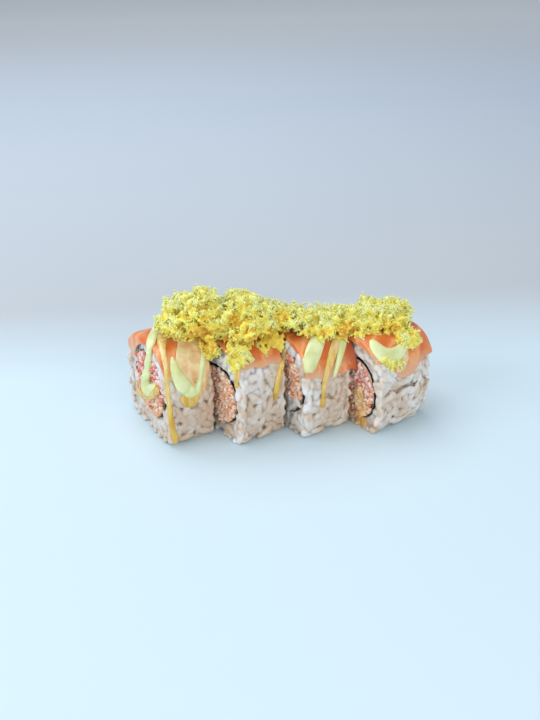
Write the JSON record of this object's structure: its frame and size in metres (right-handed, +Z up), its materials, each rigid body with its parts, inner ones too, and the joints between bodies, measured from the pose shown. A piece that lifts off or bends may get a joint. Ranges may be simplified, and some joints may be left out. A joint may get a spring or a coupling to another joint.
{
  "type": "sliced sushi roll topped with salmon",
  "caption": "Inside-out crab roll cut into thick slices, each draped with salmon and sauce, under a ridge of crisp tempura flakes.",
  "frame": {"origin": "middle of the row's footprint, on the surface it rests on", "axes": "+X along the row towards the rounded end slice, +Y away from the side with the sauce, +Z up"},
  "size_m": [0.1148, 0.0438, 0.0547],
  "materials": {
    "rice": "moist cooked short-grain rice, slightly glossy and translucent",
    "nori": "toasted seaweed sheet, softened and nearly black",
    "crab": "shredded crab stick with mayonnaise, pink to peach, moist",
    "salmon": "raw salmon with thin pale fat lines, satin, under mayonnaise and spicy sauce",
    "flakes": "yellow fried batter crumbs, dry and crisp",
    "mayonnaise": "smooth glossy pale yellow mayonnaise",
    "spicy_sauce": "thin glossy orange-yellow sauce, translucent where it is thin"
  },
  "bodies": {
    "root": {"rice_1": "rice", "rice_2": "rice", "rice_3": "rice", "rice_4": "rice", "nori_1": "nori", "nori_2": "nori", "nori_3": "nori", "nori_4": "nori", "crab_filling_1": "crab", "crab_filling_2": "crab", "crab_filling_3": "crab", "crab_filling_4": "crab", "salmon_1": "salmon", "salmon_2": "salmon", "salmon_3": "salmon", "salmon_4": "salmon", "tempura_flakes": "flakes"}
  },
  "joints": []
}
